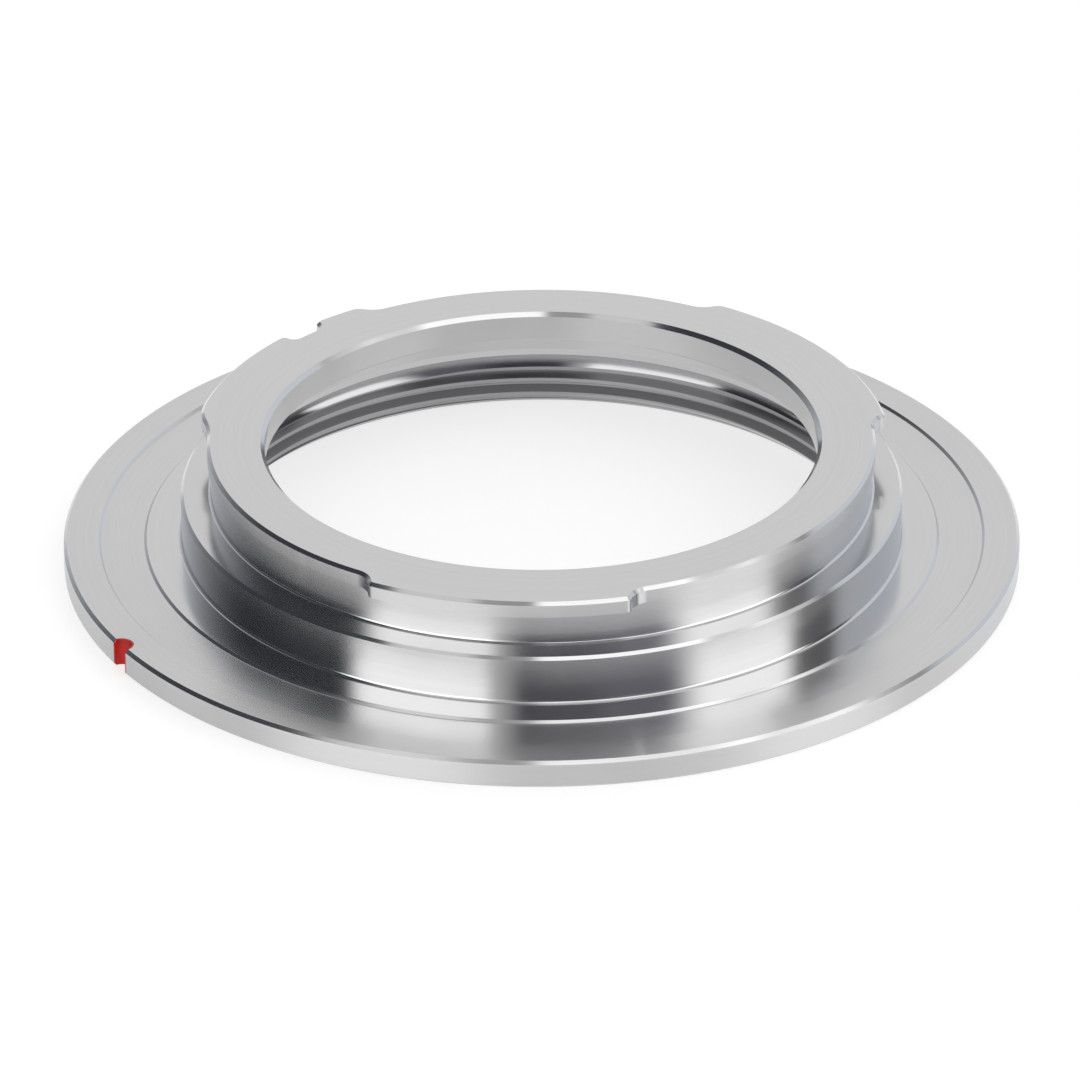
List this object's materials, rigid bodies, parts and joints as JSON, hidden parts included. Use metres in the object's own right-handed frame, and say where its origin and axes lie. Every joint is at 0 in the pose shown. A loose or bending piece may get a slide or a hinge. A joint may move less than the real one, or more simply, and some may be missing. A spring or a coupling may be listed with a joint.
{
  "type": "lens mount adapter",
  "caption": "Thin metal lens mount adapter ring: wide flange with a red index notch, stepped collar, bayonet lugs on top, threaded bore below.",
  "frame": {"origin": "centre of the ring's axis on the flange's flat underside, where the lens seats", "axes": "+Z along the ring's axis, from the lens side up to the bayonet lugs; the index notch is at 210 degrees counter-clockwise from +X, seen from above"},
  "size_m": [0.06, 0.06, 0.0082],
  "materials": {
    "ring_metal": "bright machined metal with fine turning lines",
    "red_enamel": "glossy red enamel"
  },
  "bodies": {
    "root": {"adapter_ring": "ring_metal", "index_mark": "red_enamel"}
  },
  "joints": []
}
